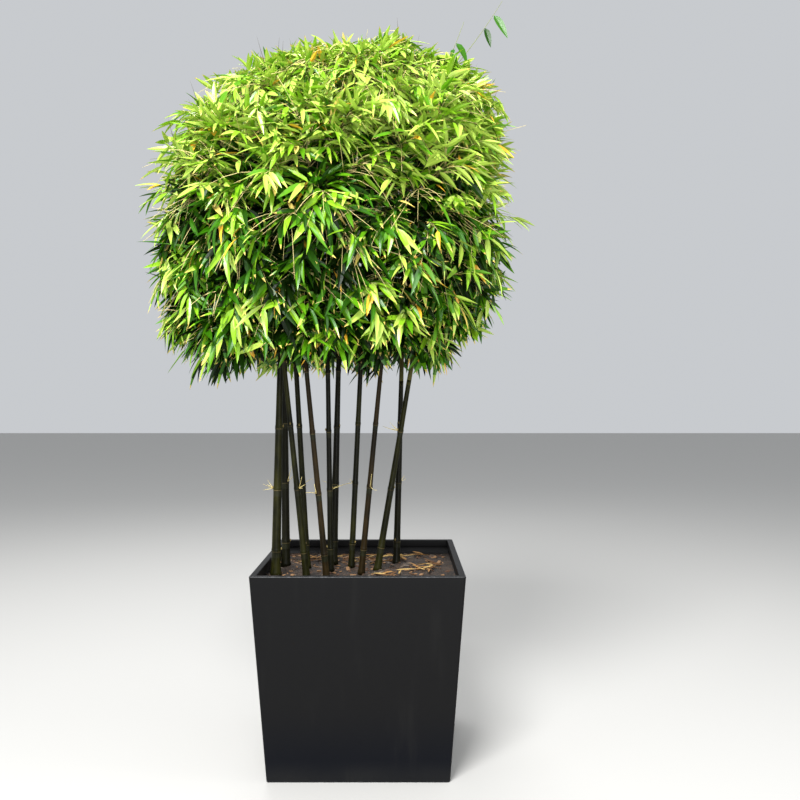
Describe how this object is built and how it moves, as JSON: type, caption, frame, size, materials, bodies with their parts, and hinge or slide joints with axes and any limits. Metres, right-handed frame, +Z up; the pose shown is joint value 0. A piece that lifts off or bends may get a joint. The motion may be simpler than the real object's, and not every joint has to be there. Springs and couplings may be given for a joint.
{
  "type": "potted bamboo",
  "caption": "Clump of slender bamboo culms with a dense, drooping, domed crown of lance-shaped leaves, standing in a square tapered planter filled with potting soil.",
  "frame": {"origin": "centre of the planter's square underside, on the ground", "axes": "+Z up along the culms; -Y the front face of the planter, as seen in the picture; +X to the right seen from the front"},
  "size_m": [1.4957, 1.3815, 2.9359],
  "materials": {
    "planter": "satin",
    "soil": "matte",
    "culm": "satin",
    "foliage": "satin"
  },
  "bodies": {
    "root": {"pot": "planter", "soil": "soil", "culm_left": "culm", "culm_back_left": "culm", "culm_front_left": "culm", "culm_top_left": "culm", "culm_front": "culm", "culm_top_front": "culm", "culm_back": "culm", "culm_top_right": "culm", "culm_front_right": "culm", "culm_back_right": "culm", "culm_right": "culm", "foliage_left": "foliage", "foliage_back_left": "foliage", "foliage_front_left": "foliage", "foliage_top_left": "foliage", "foliage_front": "foliage", "foliage_top_front": "foliage", "foliage_back": "foliage", "foliage_top_right": "foliage", "foliage_front_right": "foliage", "foliage_back_right": "foliage", "foliage_right": "foliage"}
  },
  "joints": []
}
